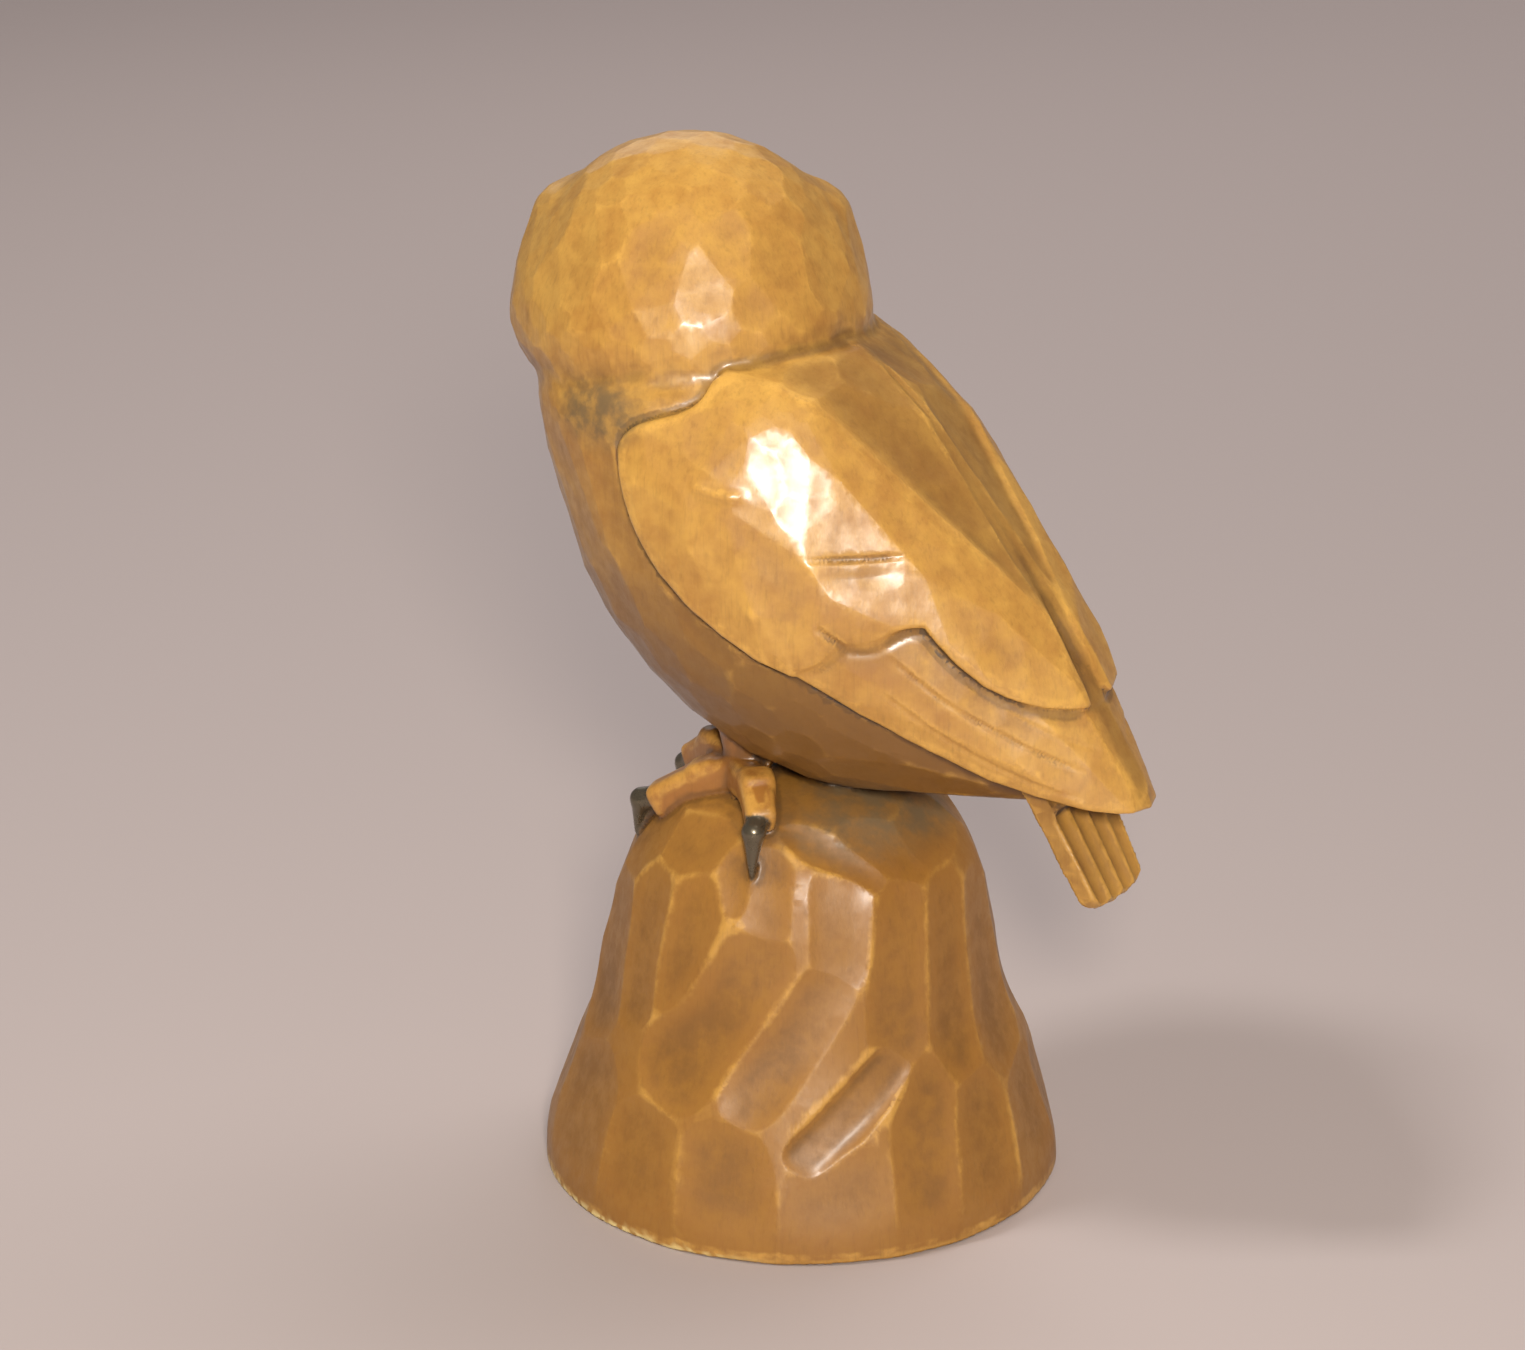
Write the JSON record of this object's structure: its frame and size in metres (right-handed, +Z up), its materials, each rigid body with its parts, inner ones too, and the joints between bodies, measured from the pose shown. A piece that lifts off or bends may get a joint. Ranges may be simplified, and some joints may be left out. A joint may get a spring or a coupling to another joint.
{
  "type": "carved wooden owl figure",
  "caption": "Stained wooden owl with its head turned over its shoulder, perched on a chip-carved tree stump with a flat underside; carved from one block.",
  "frame": {"origin": "centre of the stump's flat underside, on the surface that it stands on", "axes": "+Z up; the owl's body faces -Y and its tail hangs over the stump's edge towards +Y; its left wing is on the +X side; its head is turned over its right shoulder, towards -X"},
  "size_m": [0.1176, 0.1543, 0.2359],
  "materials": {
    "stained_wood": "honey-brown stain with a satin gloss, lighter along the worn ridges, grey patina on the stump's top, claws painted dark"
  },
  "bodies": {
    "root": {"carved_owl": "stained_wood"}
  },
  "joints": []
}
